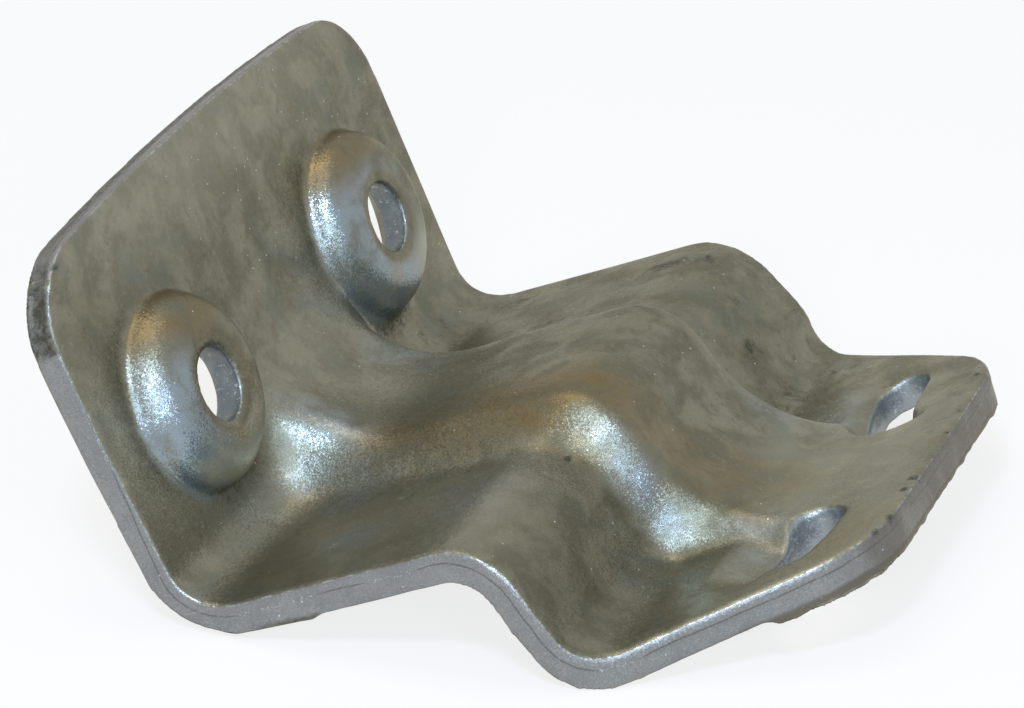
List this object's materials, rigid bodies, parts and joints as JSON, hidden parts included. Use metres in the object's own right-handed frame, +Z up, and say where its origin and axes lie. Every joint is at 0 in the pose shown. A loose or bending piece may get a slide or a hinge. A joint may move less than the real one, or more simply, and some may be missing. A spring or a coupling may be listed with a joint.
{
  "type": "stamped metal bracket",
  "caption": "Thick galvanised steel plate pressed into a wall flange with ringed bolt holes, a beaded shelf, a step and a tapered slotted foot.",
  "frame": {"origin": "middle of the outline seen from above, level with the underside of the lower flange", "axes": "+Z up along the upright, +X away from the wall the upright bolts to, +Y along the bends"},
  "size_m": [0.1016, 0.12, 0.0871],
  "materials": {
    "zinc_steel": "hot-dip galvanised steel, weathered to a warm dull grey"
  },
  "bodies": {
    "root": {"bracket": "zinc_steel"}
  },
  "joints": []
}
